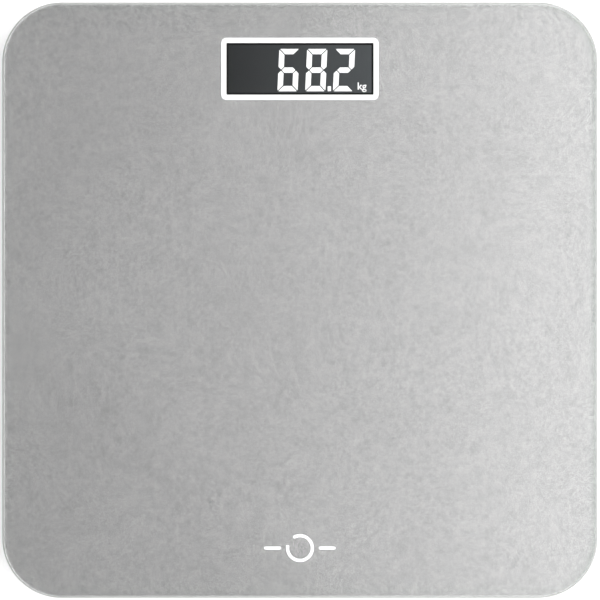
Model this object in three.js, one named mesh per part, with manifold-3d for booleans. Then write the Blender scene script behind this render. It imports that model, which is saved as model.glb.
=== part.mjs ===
// Digital bathroom scale: a tempered glass platform, printed on its underside and bonded to a
// moulded tray that holds the display, the board, the battery and four load cells on rubber feet.
// Millimetres. +X right, +Y towards the display, +Z up. The feet stand on z = 0.

import * as THREE from 'three';
import { mergeVertices } from 'three/addons/utils/BufferGeometryUtils.js';
import Module from 'manifold-3d';

const wasm = await Module();
wasm.setup();

// ---- Driving sizes ----

// Platform and print
const platformSide = 300;
const platformCorner = 30;
const platformThickness = 5;
const platformArris = 0.7;
const printThickness = 0.3;
const printGap = 0.05;

// Display window
const windowWidth = 79.5;
const windowHeight = 31.4;
const windowCorner = 2.8;
const borderWidth = 2.75;
const borderInnerCorner = 0.4;
const windowMargin = 17.6;

// Emblem
const emblemDiameter = 14;
const emblemStroke = 1.5;
const emblemBar = 8.5;
const emblemSpacing = 2.5;
const emblemMargin = 25;

// Tray
const trayStandoff = 3;
const trayHeight = 13.1;
const trayWall = 2;
const trayFloor = 2;
const trayRound = 5;
const rimInset = 6;
const rimWidth = 5;
const rimThickness = 1.8;
const bondThickness = 0.6;
const bondWidth = 4;
const ribThickness = 1.4;
const innerRibOffset = 30;
const panelDepth = 0.6;

// Feet and load cells
const footDiameter = 29;
const footInset = 44;
const footGap = 0.4;
const footLip = 2.5;
const footTravel = 0.5;
const padProud = 1;
const padSeat = 0.8;
const cellThickness = 2.5;
const cellDrop = 9.1;
const cellRim = 3.4;
const postRadius = 2.8;
const postGap = 0.85;
const slotWidth = 1.4;
const leadRadius = 1.1;
const leadBend = 9;
const screwRadius = 1.2;
const screwHeadRadius = 2.3;
const screwHeadHeight = 1.4;
const screwLength = 5;

// Display stack, hung from the glass
const frameWall = 2.4;
const frameLip = 0.3;
const frameDrop = 0.2;
const framePegRadius = 0.8;
const sheetThickness = 1.1;
const lcdLedge = 2.8;
const guideThickness = 2;
const ledWidth = 2;
const ledLength = 3.6;
const ledHeight = 1.2;
const zebraWidth = 1.8;
const fitGap = 0.1;
const touch = 0.05;

// Board
const boardThickness = 1.6;
const boardSideMargin = 15;
const boardEndMargin = 4;
const screwInset = 4.5;
const boardPostRadius = 3;
const blobRadius = 6.5;
const blobHeight = 1.6;

// Unit button and its switch
const buttonDiameter = 9;
const buttonGap = 0.3;
const buttonFlange = 1.5;
const buttonTravel = 0.5;
const switchSide = 6;
const switchHeight = 3.4;
const plungerRadius = 1.7;
const plungerProud = 0.65;
const plungerReach = 1.6;

// Battery
const coinDiameter = 20;
const coinHeight = 3.2;
const wellSideMargin = 3;
const wellEndMargin = 6;
const wellWall = 1.5;
const doorThickness = 1.8;
const doorGap = 0.3;
const doorLap = 2.5;
const doorFrameDepth = 1.6;
const doorFrameSide = 2.2;
const hingeRadius = 1.2;
const pinRadius = 0.6;
const pinLength = 1.4;
const contactThickness = 0.3;
const contactWidth = 5;
const wireRadius = 0.7;

// ---- Levels and positions that follow from them ----

const floorTop = trayStandoff + trayFloor;
const trayTop = trayStandoff + trayHeight;
const printBottom = trayTop + bondThickness;
const glassBottom = printBottom + printThickness;
const glassTop = glassBottom + platformThickness;

const half = platformSide / 2;
const rimSide = platformSide - 2 * rimInset;
const panSide = rimSide - 2 * rimWidth;
const rimCorner = platformCorner - rimInset;
const panCorner = rimCorner - rimWidth;
const innerSide = panSide - 2 * trayWall;
const innerCorner = panCorner - trayWall;

const flangeRadius = footDiameter / 2 + footLip;
const postOffset = (flangeRadius + postGap + postRadius) / Math.SQRT2;
const cellSide = 2 * (postOffset + cellRim);
const cellBottom = floorTop + trayHeight - cellDrop;
const cellTop = cellBottom + cellThickness;
const cageInner = cellSide + 4;
const footOffset = half - footInset;
const cageLine = footOffset - cageInner / 2 - ribThickness / 2;

const displayY = half - windowMargin - windowHeight / 2;
const lcdWidth = windowWidth - 1.5;
const lcdHeight = windowHeight - 1.4;
const frameTop = printBottom - frameDrop;
const frontTop = frameTop - frameLip - fitGap;
const rearTop = frontTop - sheetThickness;
const guideTop = rearTop - sheetThickness - fitGap;
const boardTop = guideTop - guideThickness - fitGap;
const boardBottom = boardTop - boardThickness;
const boardWidth = windowWidth + 2 * boardSideMargin;
const boardHeight = windowHeight + 2 * boardEndMargin;
const boardY = displayY - 2;

const buttonX = boardWidth / 3;
const buttonY = boardY;
const switchBottom = boardBottom - switchHeight;
const plungerBottom = switchBottom - plungerProud;

const wellWidth = coinDiameter + 2 * wellSideMargin;
const wellLength = coinDiameter + 2 * wellEndMargin;
const wellY = (innerRibOffset + cageLine) / 2;
const doorTop = trayStandoff + doorThickness;
const doorWidth = wellWidth + 2 * doorLap;
const doorFreeY = wellY + wellLength / 2 + doorLap;
const hingeY = wellY - wellLength / 2 - doorLap + hingeRadius;
const hingeZ = doorTop - 0.2;
const doorNearWall = hingeY - (hingeZ - trayStandoff) - doorGap;
const frameBlockTop = doorTop + doorFrameDepth;
const coinBottom = doorTop + fitGap;
const coinTop = coinBottom + coinHeight;
const roofBottom = coinTop + 1.2;
const roofTop = roofBottom + 1.4;
const wireZ = boardTop + wireRadius + touch;
const leadZ = Math.max(cellTop, boardTop) + leadRadius + touch;
const leadNotchBottom = leadZ - leadRadius - fitGap;
const leadLaneX = cageLine - 9;
const wireLanes = [0, wellWidth / 2 + 5];
const nestBottom = frameBlockTop + 0.6;
const nestRadius = coinDiameter / 2 + 0.3;
const positiveTailX = coinDiameter / 2 + 1.4;
const negativeTailY = coinDiameter / 2 - 1.6;
const pilotRadius = screwRadius + touch;
const pilotSpare = 0.4;
const sink = 0.5;

// ---- Shape helpers ----

function roundedRectangle(width, height, radius, x = 0, y = 0) {
  const left = x - width / 2;
  const right = x + width / 2;
  const low = y - height / 2;
  const high = y + height / 2;
  const shape = new THREE.Shape();
  shape.moveTo(left + radius, low);
  shape.lineTo(right - radius, low);
  shape.absarc(right - radius, low + radius, radius, -Math.PI / 2, 0, false);
  shape.lineTo(right, high - radius);
  shape.absarc(right - radius, high - radius, radius, 0, Math.PI / 2, false);
  shape.lineTo(left + radius, high);
  shape.absarc(left + radius, high - radius, radius, Math.PI / 2, Math.PI, false);
  shape.lineTo(left, low + radius);
  shape.absarc(left + radius, low + radius, radius, Math.PI, Math.PI * 1.5, false);
  return shape;
}

function slab(shape, bottom, top, curveSegments = 4) {
  const settings = { depth: top - bottom, bevelEnabled: false, curveSegments };
  return new THREE.ExtrudeGeometry(shape, settings).translate(0, 0, bottom);
}

// A slab whose top and bottom edges are chamfered (one segment) or rounded (more).
function easedSlab(shape, bottom, top, ease, bevelSegments = 1, curveSegments = 4) {
  const settings = {
    depth: top - bottom - 2 * ease,
    bevelThickness: ease,
    bevelSize: ease,
    bevelOffset: -ease,
    bevelSegments,
    curveSegments,
  };
  return new THREE.ExtrudeGeometry(shape, settings).translate(0, 0, bottom + ease);
}

function box([left, right], [low, high], [bottom, top]) {
  const size = [right - left, high - low, top - bottom];
  const middle = [(left + right) / 2, (low + high) / 2, (bottom + top) / 2];
  return new THREE.BoxGeometry(...size).translate(...middle);
}

function centredBox(x, y, width, height, bottom, top) {
  return box([x - width / 2, x + width / 2], [y - height / 2, y + height / 2], [bottom, top]);
}

function post(x, y, radius, bottom, top, sides = 12) {
  const column = new THREE.CylinderGeometry(radius, radius, top - bottom, sides);
  return column.rotateX(Math.PI / 2).translate(x, y, (bottom + top) / 2);
}

function barAlongX(y, z, radius, left, right, sides = 16) {
  const bar = new THREE.CylinderGeometry(radius, radius, right - left, sides);
  return bar.rotateZ(Math.PI / 2).translate((left + right) / 2, y, z);
}

// A turned piece standing at (x, y); the profile runs from axis to axis as [radius, z] pairs.
function turned(profile, x, y, sides = 24) {
  const points = profile.map(([radius, z]) => new THREE.Vector2(radius, z));
  return new THREE.LatheGeometry(points, sides).rotateX(Math.PI / 2).translate(x, y, 0);
}

// A flat strip bent along a line of [across, z] points, in the plane it is then extruded from.
function bentStrip(points, thickness) {
  const directions = points.slice(1).map(([a, z], i) => {
    const [a0, z0] = points[i];
    const length = Math.hypot(a - a0, z - z0);
    return [(a - a0) / length, (z - z0) / length];
  });
  const offsets = points.map((point, i) => {
    const before = directions[Math.max(i - 1, 0)];
    const after = directions[Math.min(i, directions.length - 1)];
    const normal = [-(before[1] + after[1]), before[0] + after[0]];
    const spread = 1 + before[0] * after[0] + before[1] * after[1];
    return [(normal[0] / spread) * thickness, (normal[1] / spread) * thickness];
  });
  const far = points.map(([a, z], i) => [a + offsets[i][0], z + offsets[i][1]]).reverse();
  const outline = [...points, ...far].map(([a, z]) => new THREE.Vector2(a, z));
  return new THREE.Shape(outline);
}

// A wire or lead of round section along a level route with rounded bends.
function routed(corners, z, radius, bend, sides = 8) {
  const points = corners.map(([x, y]) => new THREE.Vector3(x, y, z));
  const path = new THREE.CurvePath();
  let start = points[0];
  for (let i = 1; i < points.length - 1; i += 1) {
    const before = points[i].clone().sub(points[i - 1]).setLength(bend);
    const after = points[i + 1].clone().sub(points[i]).setLength(bend);
    const entry = points[i].clone().sub(before);
    const exit = points[i].clone().add(after);
    path.add(new THREE.LineCurve3(start, entry));
    path.add(new THREE.QuadraticBezierCurve3(entry, points[i], exit));
    start = exit;
  }
  path.add(new THREE.LineCurve3(start, points[points.length - 1]));
  const section = new THREE.Shape();
  section.absarc(0, 0, radius, 0, Math.PI * 2, false);
  const steps = Math.ceil(path.getLength() / (6 * radius));
  const settings = { extrudePath: path, steps, curveSegments: sides / 2, bevelEnabled: false };
  return new THREE.ExtrudeGeometry(section, settings);
}

// ---- Booleans ----

function solid(geometry) {
  if (geometry instanceof wasm.Manifold) {
    return geometry;
  }
  geometry.deleteAttribute('normal');
  geometry.deleteAttribute('uv');
  const merged = mergeVertices(geometry, 1e-5);
  const mesh = new wasm.Mesh({
    numProp: 3,
    vertProperties: new Float32Array(merged.attributes.position.array),
    triVerts: new Uint32Array(merged.index.array),
  });
  return new wasm.Manifold(mesh);
}

function join(...shapes) {
  return shapes.flat().map(solid).reduce((whole, next) => whole.add(next));
}

function cut(shape, ...tools) {
  return solid(shape).subtract(join(...tools));
}

function common(a, b) {
  return solid(a).intersect(solid(b));
}

const sliver = 0.004;

function geometryOf(shape) {
  if (!(shape instanceof wasm.Manifold)) {
    return shape;
  }
  const mesh = shape.simplify(sliver).getMesh();
  const geometry = new THREE.BufferGeometry();
  geometry.setAttribute('position', new THREE.BufferAttribute(mesh.vertProperties, 3));
  geometry.setIndex(new THREE.BufferAttribute(mesh.triVerts, 1));
  const flat = geometry.toNonIndexed();
  flat.computeVertexNormals();
  return flat;
}

// ---- The object ----

const scale = new THREE.Group();
scale.name = 'digital_bathroom_scale';

function addPiece(name, shape, color, roughness, metalness = 0) {
  const material = new THREE.MeshStandardMaterial({ color, roughness, metalness });
  const mesh = new THREE.Mesh(geometryOf(shape), material);
  mesh.name = name;
  scale.add(mesh);
}

const corners = [
  { label: 'front_left', sx: -1, sy: -1 },
  { label: 'front_right', sx: 1, sy: -1 },
  { label: 'back_left', sx: -1, sy: 1 },
  { label: 'back_right', sx: 1, sy: 1 },
].map((corner) => ({ ...corner, x: corner.sx * footOffset, y: corner.sy * footOffset }));

// Platform and everything printed under it

function glassPlatform() {
  const outline = roundedRectangle(platformSide, platformSide, platformCorner);
  return easedSlab(outline, glassBottom, glassTop, platformArris, 1, 5);
}

function emblemRing(stroke) {
  const radius = (emblemDiameter - emblemStroke) / 2;
  const gap = Math.PI / 7;
  const from = Math.PI / 2 + gap;
  const to = Math.PI * 2.5 - gap;
  const shape = new THREE.Shape();
  shape.absarc(0, 0, radius + stroke / 2, from, to, false);
  const end = [radius * Math.cos(to), radius * Math.sin(to)];
  const begin = [radius * Math.cos(from), radius * Math.sin(from)];
  shape.absarc(...end, stroke / 2, to, to + Math.PI, false);
  shape.absarc(0, 0, radius - stroke / 2, to, from, true);
  shape.absarc(...begin, stroke / 2, from + Math.PI, from + Math.PI * 2, false);
  return shape;
}

const emblemY = emblemMargin - half;
const emblemBarX = emblemDiameter / 2 + emblemSpacing + emblemBar / 2;

function emblemBarShape(side, width) {
  const length = emblemBar + width - emblemStroke;
  return roundedRectangle(length, width, width * 0.46, side * emblemBarX, emblemY);
}

function printLayer(shape, curveSegments = 4) {
  return slab(shape, printBottom, glassBottom, curveSegments);
}

function platformPrint() {
  const side = platformSide - 2 * platformArris;
  const sheet = printLayer(roundedRectangle(side, side, platformCorner - platformArris));
  const around = 2 * printGap;
  const windowHole = roundedRectangle(
    windowWidth + around, windowHeight + around, windowCorner + printGap, 0, displayY);
  const through = (shape, curves) => slab(shape, printBottom - 1, glassBottom + 1, curves);
  return cut(
    sheet,
    through(windowHole),
    through(emblemRing(emblemStroke + around), 7).translate(0, emblemY, 0),
    through(emblemBarShape(-1, emblemStroke + around), 3),
    through(emblemBarShape(1, emblemStroke + around), 3));
}

function windowBorder() {
  const outer = roundedRectangle(windowWidth, windowHeight, windowCorner, 0, displayY);
  const innerWidth = windowWidth - 2 * borderWidth;
  const innerHeight = windowHeight - 2 * borderWidth;
  outer.holes.push(
    roundedRectangle(innerWidth, innerHeight, borderInnerCorner, 0, displayY));
  return printLayer(outer);
}

addPiece('glass_platform', glassPlatform(), 0xcfe3dc, 0.05);
addPiece('platform_print', platformPrint(), 0xb9bbbd, 0.45, 0.6);
addPiece('window_border', windowBorder(), 0xf7f7f5, 0.5);
const emblemCircle = printLayer(emblemRing(emblemStroke), 7).translate(0, emblemY, 0);
addPiece('emblem_ring', emblemCircle, 0xf2f2f0, 0.5);
addPiece('emblem_bar_left', printLayer(emblemBarShape(-1, emblemStroke), 3), 0xf2f2f0, 0.5);
addPiece('emblem_bar_right', printLayer(emblemBarShape(1, emblemStroke), 3), 0xf2f2f0, 0.5);

// Bond between the print and the tray: a ring on the rim and strips along the long ribs

function bondLattice() {
  const side = rimSide - 1;
  const outer = roundedRectangle(side, side, rimCorner - 0.5);
  outer.holes.push(roundedRectangle(innerSide, innerSide, innerCorner));
  const ring = slab(outer, trayTop, printBottom);
  const reach = innerSide / 2 + 1;
  const strips = [-cageLine, cageLine].flatMap((line) => [
    box([line - bondWidth / 2, line + bondWidth / 2], [-reach, reach], [trayTop, printBottom]),
    box([-reach, reach], [line - bondWidth / 2, line + bondWidth / 2], [trayTop, printBottom]),
  ]);
  return join(ring, strips);
}

addPiece('bond_lattice', bondLattice(), 0xe4e2da, 0.7);

// Base tray

// A pan with rounded lower edges, cut level at the top.
function pan(side, corner, round, bottom, top) {
  const body = easedSlab(roundedRectangle(side, side, corner), bottom, top + 2 * round, round, 3);
  return common(body, centredBox(0, 0, side + 10, side + 10, bottom - 1, top));
}

function trayShell() {
  const round = trayRound - trayWall;
  const outer = pan(panSide, panCorner, trayRound, trayStandoff, trayTop);
  const rim = slab(roundedRectangle(rimSide, rimSide, rimCorner), trayTop - rimThickness, trayTop);
  const inner = pan(innerSide, innerCorner, round, floorTop, trayTop + 1);
  return cut(join(outer, rim), inner);
}

function ribs() {
  const reach = innerSide / 2 + trayWall / 2;
  const z = [floorTop - sink, trayTop];
  const thick = (line) => [line - ribThickness / 2, line + ribThickness / 2];
  const walls = [-1, 1].flatMap((side) => [
    box(thick(side * cageLine), [-reach, reach], z),
    box([-reach, reach], thick(side * cageLine), z),
    box([-reach, reach], thick(side * innerRibOffset), z),
    box(thick(side * innerRibOffset), [-reach, cageLine], z),
  ]);
  const cages = corners.map(({ x, y }) => {
    const outer = cageInner + 2 * ribThickness;
    return cut(
      centredBox(x, y, outer, outer, ...z),
      centredBox(x, y, cageInner, cageInner, z[0] - 1, z[1] + 1));
  });
  const inside = pan(innerSide + 1, innerCorner, trayRound - trayWall, floorTop - sink, trayTop);
  return common(join(walls, cages), inside);
}

function postSpots({ x, y }) {
  return [-1, 1].flatMap((a) => [-1, 1].map((b) => ({
    x: x + a * postOffset,
    y: y + b * postOffset,
    screwed: a * b > 0,
  })));
}

const boardScrewSpots = [-1, 1].flatMap((a) => [-1, 1].map((b) => ({
  x: a * (boardWidth / 2 - screwInset),
  y: boardY + b * (boardHeight / 2 - screwInset),
})));

function cellPosts(corner) {
  return postSpots(corner).map(({ x, y, screwed }) => {
    const whole = post(x, y, postRadius, floorTop - sink, cellBottom);
    const pilot = post(x, y, pilotRadius, cellTop - screwLength - pilotSpare, cellBottom + 1, 8);
    return screwed ? cut(whole, pilot) : solid(whole);
  });
}

function boardPosts() {
  return boardScrewSpots.map(({ x, y }) => cut(
    post(x, y, boardPostRadius, floorTop - sink, boardBottom),
    post(x, y, pilotRadius, boardTop - screwLength - pilotSpare, boardBottom + 1, 8)));
}

// Where the leads and wires cross a rib the rib is notched down from its top.
function leadNotches() {
  const wide = 2 * leadRadius + 1;
  const z = [leadNotchBottom, trayTop + 1];
  const across = ([x0, x1], y) => box([x0, x1], [y - wide / 2, y + wide / 2], z);
  const along = (x, [y0, y1]) => box([x - wide / 2, x + wide / 2], [y0, y1], z);
  return [-1, 1].flatMap((side) => {
    const wall = [side * cageLine - 2, side * cageLine + 2];
    return [
      across(wall, footOffset),
      across(wall, -footOffset),
      along(side * leadLaneX, [-footOffset, boardY]),
    ];
  });
}

function wireNotches() {
  const wide = 2 * wireRadius + 1;
  return wireLanes.map((x) => centredBox(
    x, cageLine, wide, 6, wireZ - wireRadius - fitGap, trayTop + 1));
}

function buttonCollar() {
  const inner = buttonDiameter / 2 + buttonFlange + buttonGap;
  return cut(
    post(buttonX, buttonY, inner + 1.2, floorTop - sink, floorTop + 1.4, 24),
    post(buttonX, buttonY, inner, floorTop - 1, floorTop + 2, 24));
}

function buttonBore() {
  const dish = buttonDiameter / 2 + 4;
  return [
    post(buttonX, buttonY, buttonDiameter / 2 + buttonGap, trayStandoff - 1, floorTop + 1, 24),
    turned([[0, trayStandoff - 1], [dish + 1, trayStandoff - 1], [dish, trayStandoff],
      [dish - 2, trayStandoff + panelDepth], [0, trayStandoff + panelDepth]], buttonX, buttonY),
  ];
}

function wellBlock() {
  const side = doorGap + doorFrameSide;
  const low = doorNearWall - wellWall;
  const high = doorFreeY + side;
  const across = [-doorWidth / 2 - side, doorWidth / 2 + side];
  const wallX = [-wellWidth / 2 - wellWall, wellWidth / 2 + wellWall];
  const wallY = [wellY - wellLength / 2 - wellWall, wellY + wellLength / 2 + wellWall];
  return [
    box(across, [low, high], [trayStandoff, frameBlockTop]),
    box(wallX, wallY, [floorTop, roofTop]),
  ];
}

function wellHollow() {
  const wellX = [-wellWidth / 2, wellWidth / 2];
  const wellSpan = [wellY - wellLength / 2, wellY + wellLength / 2];
  const doorX = [-doorWidth / 2 - doorGap, doorWidth / 2 + doorGap];
  const pins = doorWidth / 2 + pinLength + doorGap;
  const slack = 0.3;
  const tail = contactWidth + 2 * slack;
  return [
    box(wellX, wellSpan, [trayStandoff - 1, nestBottom]),
    post(0, wellY, nestRadius, nestBottom - 1, roofBottom, 32),
    box([nestRadius - 2, positiveTailX + 1], [wellY - tail / 2, wellY + tail / 2],
      [nestBottom - 1, roofBottom]),
    box(doorX, [doorNearWall, doorFreeY + doorGap], [trayStandoff - 1, doorTop + fitGap]),
    barAlongX(hingeY, hingeZ, hingeRadius + doorGap, doorX[0], doorX[1], 24),
    barAlongX(hingeY, hingeZ, pinRadius + doorGap, -pins, pins),
    box([-tail / 2, tail / 2],
      [wellY + negativeTailY - slack, wellY + negativeTailY + contactThickness + slack],
      [roofBottom - 1, roofTop + 1]),
    box([positiveTailX - contactThickness - slack, positiveTailX + slack],
      [wellY - tail / 2, wellY + tail / 2], [roofBottom - 1, roofTop + 1]),
    post(0, doorFreeY + doorGap, 7, trayStandoff - 1, trayStandoff + 1, 24),
  ];
}

function underPanel() {
  const side = 2 * (footOffset - footDiameter / 2) - 14;
  const low = -side / 2;
  const high = doorNearWall - 8;
  const panel = roundedRectangle(side, high - low, 10, 0, (low + high) / 2);
  return slab(panel, trayStandoff - 1, trayStandoff + panelDepth);
}

function footBores() {
  const bore = footDiameter / 2 + footGap;
  return corners.flatMap(({ x, y }) => [
    post(x, y, bore, trayStandoff - 1, floorTop + 1, 24),
    turned([[0, trayStandoff - 1], [bore + 2, trayStandoff - 1], [bore + 1, trayStandoff],
      [bore - 0.2, trayStandoff + 1], [0, trayStandoff + 1]], x, y),
  ]);
}

function baseTray() {
  const shell = cut(trayShell(), footBores(), buttonBore(), underPanel());
  const inside = join(ribs(), corners.flatMap(cellPosts), boardPosts(), buttonCollar());
  const notched = cut(inside, leadNotches(), wireNotches(), footFlangeRoom());
  return cut(join(shell, notched, wellBlock()), wellHollow());
}

function footFlangeRoom() {
  return corners.map(({ x, y }) => post(x, y, footDiameter / 2 + footGap, 0, floorTop + 1, 24));
}

addPiece('base_tray', baseTray(), 0xa3a6a9, 0.6);

// Feet and load cells

function foot({ x, y }) {
  const radius = footDiameter / 2;
  const recess = radius - 1.3;
  const shelf = floorTop + fitGap;
  const cup = radius - 2;
  const tip = cellBottom - footTravel - fitGap;
  return turned([
    [0, padProud + padSeat], [recess, padProud + padSeat], [recess, padProud],
    [radius - 0.6, padProud],
    [radius, padProud + 0.6], [radius, shelf], [flangeRadius, shelf],
    [flangeRadius, shelf + 1.4], [cup, shelf + 1.4], [cup, shelf - 1.3], [4.5, shelf - 1.3],
    [4, tip - 1], [2.6, tip - 0.2], [0, tip],
  ], x, y);
}

function footPad({ x, y }) {
  const radius = footDiameter / 2 - 1.5;
  const groove = 0.6;
  const ring = radius * 0.6;
  return turned([
    [0, 0], [ring - 0.2, 0], [ring + 0.2, groove], [ring + 1.6, groove], [ring + 2, 0],
    [radius - groove, 0], [radius, groove], [radius, padProud + padSeat], [0, padProud + padSeat],
  ], x, y);
}

// Square steel plate with a U slot that frees a tongue. The tongue's root points inwards and
// carries the strain gauges; its free end bears on the foot.
function loadCell(corner) {
  const { x, y, sx } = corner;
  const reach = cellSide / 2;
  const plate = slab(roundedRectangle(cellSide, cellSide, 3, x, y), cellBottom, cellTop, 2);
  const rootX = x - sx * reach * 0.55;
  const tipX = x + sx * reach * 0.55;
  const tongue = reach * 0.45;
  const z = [cellBottom - 1, cellTop + 1];
  const span = [Math.min(rootX, tipX), Math.max(rootX, tipX)];
  const halfSlot = slotWidth / 2;
  const sides = [-1, 1].flatMap((side) => {
    const line = y + side * tongue;
    return [
      box(span, [line - halfSlot, line + halfSlot], z),
      post(rootX, line, slotWidth, ...z, 10),
    ];
  });
  const end = box(
    [tipX - halfSlot, tipX + halfSlot], [y - tongue - halfSlot, y + tongue + halfSlot], z);
  const holes = postSpots(corner).filter(({ screwed }) => screwed)
    .map((spot) => post(spot.x, spot.y, screwRadius + 0.25, ...z, 10));
  return cut(plate, sides, end, holes);
}

const gaugeLength = 6;

function gaugeCoating({ x, y, sx }) {
  const middle = x - sx * cellSide * 0.385;
  const outline = roundedRectangle(gaugeLength, 10, 1.5, middle, y);
  return easedSlab(outline, cellTop, cellTop + 1, 0.35, 1, 2);
}

function gaugeLead({ x, y, sx, sy }) {
  const start = x - sx * (cellSide * 0.385 + gaugeLength / 2 + 0.2);
  const end = sx * (boardWidth / 2 - 3.5);
  const laneX = sx * leadLaneX;
  const entryY = footOffset - 3.2;
  const direct = [[start, y], [end, y]];
  const around = [[start, y], [laneX, y], [laneX, entryY], [end, entryY]];
  return routed(sy > 0 ? direct : around, leadZ, leadRadius, leadBend);
}

function screw(x, y, seat) {
  const head = post(x, y, screwHeadRadius, seat, seat + screwHeadHeight, 12);
  const shank = post(x, y, screwRadius, seat - screwLength, seat + 0.5, 8);
  const z = [seat + screwHeadHeight - 0.8, seat + screwHeadHeight + 1];
  return cut(
    join(head, shank),
    centredBox(x, y, 2.6, 0.6, ...z),
    centredBox(x, y, 0.6, 2.6, ...z));
}

for (const corner of corners) {
  addPiece(`foot_${corner.label}`, foot(corner), 0x8e9194, 0.55);
  addPiece(`foot_pad_${corner.label}`, footPad(corner), 0x3a3b3d, 0.9);
  addPiece(`load_cell_${corner.label}`, loadCell(corner), 0xb4b6b8, 0.35, 1);
  addPiece(`gauge_coating_${corner.label}`, gaugeCoating(corner), 0xf1efe8, 0.6);
  addPiece(`gauge_lead_${corner.label}`, gaugeLead(corner), 0xb5342b, 0.5);
  postSpots(corner).filter(({ screwed }) => screwed).forEach((spot, i) => {
    const name = `cell_screw_${corner.label}_${i + 1}`;
    addPiece(name, screw(spot.x, spot.y, cellTop), 0x9a9da0, 0.35, 1);
  });
}

// Display stack

function lcdFrame() {
  const width = lcdWidth + 2 * fitGap;
  const height = lcdHeight + 2 * fitGap;
  const outline = roundedRectangle(width + 2 * frameWall, height + 2 * frameWall, 1.5, 0, displayY);
  const body = slab(outline, boardTop, frameTop, 3);
  const pocket = centredBox(0, displayY, width, height, boardTop - 1, frontTop + fitGap);
  const opening = centredBox(0, displayY, width - 2, height - 2, boardTop, frameTop + 1);
  const pegs = [-1, 1].map((side) => post(
    side * (width + frameWall) / 2, displayY, framePegRadius, boardTop - 1.2, boardTop + 1, 8));
  return join(cut(body, pocket, opening), pegs);
}

const ledgeY = displayY - lcdHeight / 2 + lcdLedge / 2;

function lcdSheet(height, top) {
  const middle = displayY + (lcdHeight - height) / 2;
  return centredBox(0, middle, lcdWidth, height, top - sheetThickness, top);
}

function backlightGuide() {
  const height = lcdHeight - lcdLedge - 1;
  const middle = displayY + (lcdHeight - height) / 2;
  const guide = centredBox(0, middle, lcdWidth, height, guideTop - guideThickness, guideTop);
  const notch = [boardTop - 1, boardTop + ledHeight + 0.5];
  return cut(guide, centredBox(-lcdWidth / 2, middle, 5, ledLength + 0.8, ...notch));
}

function backlightLed() {
  const height = lcdHeight - lcdLedge - 1;
  const middle = displayY + (lcdHeight - height) / 2;
  const x = -lcdWidth / 2 + 1.2;
  const lamp = centredBox(x, middle, ledWidth, ledLength, boardTop, boardTop + ledHeight);
  const pocket = [boardTop + ledHeight / 4, boardTop + ledHeight * 3 / 4];
  return cut(lamp, centredBox(x + ledWidth / 2, middle, 0.6, ledLength - 1, ...pocket));
}

addPiece('lcd_front_glass', lcdSheet(lcdHeight, frontTop), 0x3f454a, 0.15);
addPiece('lcd_rear_glass', lcdSheet(lcdHeight - lcdLedge, rearTop), 0x4b5257, 0.2);
addPiece('lcd_frame', lcdFrame(), 0x17181a, 0.6);
addPiece('backlight_guide', backlightGuide(), 0xf4f6f8, 0.25);
addPiece('backlight_led', backlightLed(), 0xf6f1d8, 0.4);
addPiece('zebra_strip',
  centredBox(0, ledgeY, lcdWidth - 6, zebraWidth, boardTop, rearTop), 0x4a4d50, 0.8);

// Board and what is mounted on it

function mainBoard() {
  const outline = roundedRectangle(boardWidth, boardHeight, 2, 0, boardY);
  const board = slab(outline, boardBottom, boardTop, 3);
  const z = [boardBottom - 1, boardTop + 1];
  const holes = boardScrewSpots.map(({ x, y }) => post(x, y, screwRadius + 0.3, ...z, 8));
  const width = lcdWidth + 2 * fitGap + frameWall;
  const pegs = [-1, 1].map((side) => post(
    side * width / 2, displayY, framePegRadius + 0.2, ...z, 8));
  return cut(board, holes, pegs);
}

function controllerBlob() {
  const dome = [[0, 1], [0.46, 0.9], [0.77, 0.6], [0.95, 0.2], [1, 0]].map(
    ([across, down]) => [across * blobRadius, boardBottom - down * blobHeight]);
  return turned([...dome, [0, boardBottom]], -boardWidth / 6, boardY, 32);
}

function switchBody() {
  const body = centredBox(
    buttonX, buttonY, switchSide, switchSide, switchBottom, boardBottom);
  const bore = [switchBottom - 1, switchBottom + plungerReach + buttonTravel + buttonGap];
  return cut(body, post(buttonX, buttonY, plungerRadius + 0.2, ...bore));
}

function switchPlunger() {
  return post(buttonX, buttonY, plungerRadius, plungerBottom, switchBottom + plungerReach);
}

// The cap shows in the tray's dish, its flange keeps it in and its stem reaches the plunger.
function unitButton() {
  const radius = buttonDiameter / 2;
  const face = trayStandoff - 0.2;
  const flange = radius + buttonFlange;
  const shelf = floorTop + touch;
  const stem = plungerBottom - touch;
  return turned([
    [0, face + 0.3], [radius - 2, face + 0.15], [radius - 0.6, face], [radius, face + 0.5],
    [radius, shelf], [flange, shelf], [flange, shelf + 0.8], [2, shelf + 0.8],
    [2, stem], [0, stem],
  ], buttonX, buttonY);
}

addPiece('main_board', mainBoard(), 0x1f5a3a, 0.5);
addPiece('controller_blob', controllerBlob(), 0x141414, 0.4);
boardScrewSpots.forEach(({ x, y }, i) => {
  addPiece(`board_screw_${i + 1}`, screw(x, y, boardTop), 0x9a9da0, 0.35, 1);
});
addPiece('unit_switch_body', switchBody(), 0x202124, 0.5);
addPiece('unit_switch_plunger', switchPlunger(), 0xc9a227, 0.5);
addPiece('unit_button', unitButton(), 0x6f7275, 0.5);

// Battery, its contacts, wires and door

function coinCell() {
  const radius = coinDiameter / 2;
  const step = coinTop - 0.5;
  return turned([
    [0, coinBottom], [radius - 0.4, coinBottom], [radius, coinBottom + 0.4], [radius, step],
    [radius - 0.5, step + 0.2], [radius - 1.6, step + 0.2], [radius - 1.6, coinTop],
    [0, coinTop],
  ], 0, wellY, 32);
}

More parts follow.
